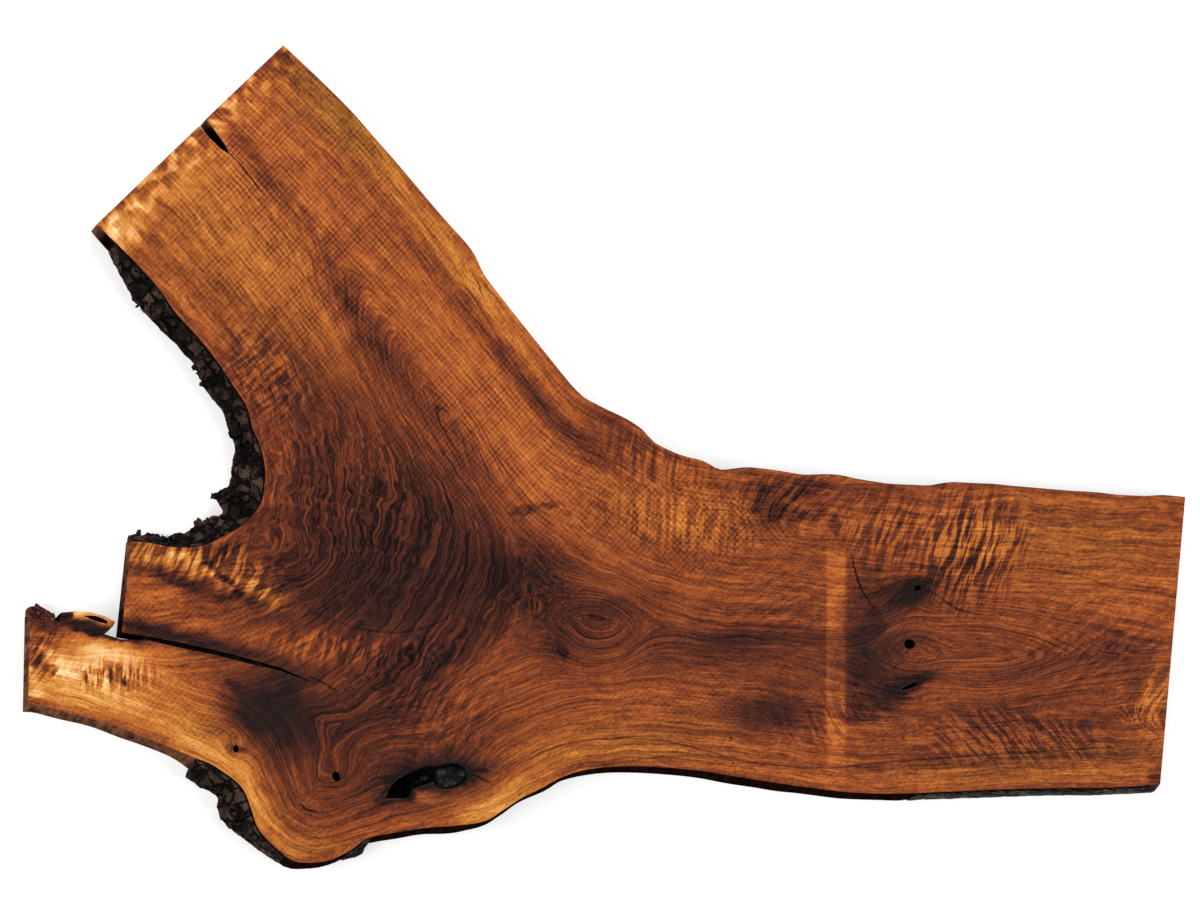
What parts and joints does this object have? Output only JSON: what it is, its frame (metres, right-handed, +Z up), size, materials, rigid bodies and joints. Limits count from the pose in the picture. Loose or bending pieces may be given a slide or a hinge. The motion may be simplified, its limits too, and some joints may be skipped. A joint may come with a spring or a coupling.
{
  "type": "walnut crotch slab",
  "caption": "Live-edge walnut slab sawn flat from a tree fork, for a table top or wall panel, with furrowed bark left round the crotch and foot.",
  "frame": {"origin": "on the underside, below the middle of the slab's overall length and width", "axes": "+X along the trunk towards its saw cut, +Y towards the long limb's side, +Z up out of the upper face"},
  "size_m": [2.0176, 1.409, 0.055],
  "materials": {
    "oiled_walnut": "rich red-brown walnut heartwood with dark figure, oiled to a soft gloss",
    "furrowed_bark": "dry black-brown furrowed bark, matte",
    "inner_bark": "dry red-brown inner bark, matte"
  },
  "bodies": {
    "root": {"walnut_slab": "oiled_walnut", "crotch_bark": "furrowed_bark", "foot_bark": "furrowed_bark", "trunk_bark": "furrowed_bark", "edge_knob": "furrowed_bark", "ingrown_bark": "furrowed_bark", "stub_bark": "inner_bark"}
  },
  "joints": []
}
